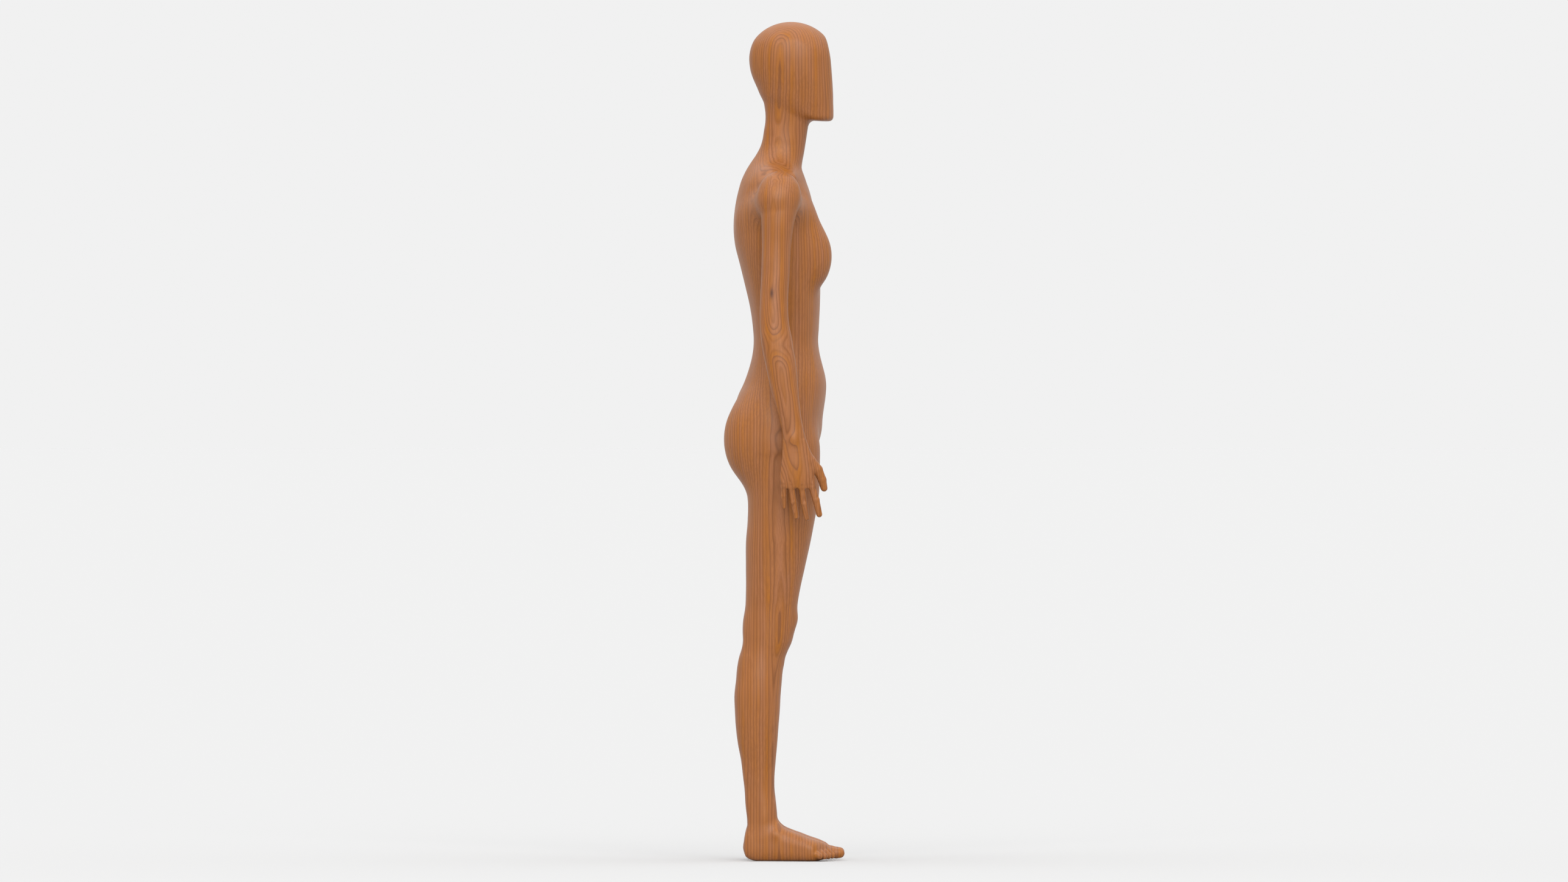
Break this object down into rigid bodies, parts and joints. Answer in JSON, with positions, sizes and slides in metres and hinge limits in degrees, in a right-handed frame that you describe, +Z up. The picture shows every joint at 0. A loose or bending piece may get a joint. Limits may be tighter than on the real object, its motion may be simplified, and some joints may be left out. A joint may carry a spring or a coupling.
{
  "type": "standing wooden figure",
  "caption": "Slender standing female figure in smooth ringed wood with a flat featureless face, straight arms and bare feet.",
  "frame": {"origin": "centre of the bounding box, on the surface that the soles stand on", "axes": "+Z up, -Y the way the figure faces, +X to the figure's left"},
  "size_m": [0.1026, 0.058, 0.4],
  "materials": {
    "figure_wood": "satin varnish",
    "dowel_wood": "plain"
  },
  "bodies": {
    "root": {"trunk": "figure_wood", "head": "figure_wood", "neck_dowel": "dowel_wood", "left_arm": "figure_wood", "right_arm": "figure_wood", "left_hand": "figure_wood", "right_hand": "figure_wood", "left_leg": "figure_wood", "right_leg": "figure_wood", "left_shoulder_dowel": "dowel_wood", "right_shoulder_dowel": "dowel_wood", "left_wrist_dowel": "dowel_wood", "right_wrist_dowel": "dowel_wood", "left_hip_dowels": "dowel_wood", "right_hip_dowels": "dowel_wood"}
  },
  "joints": []
}
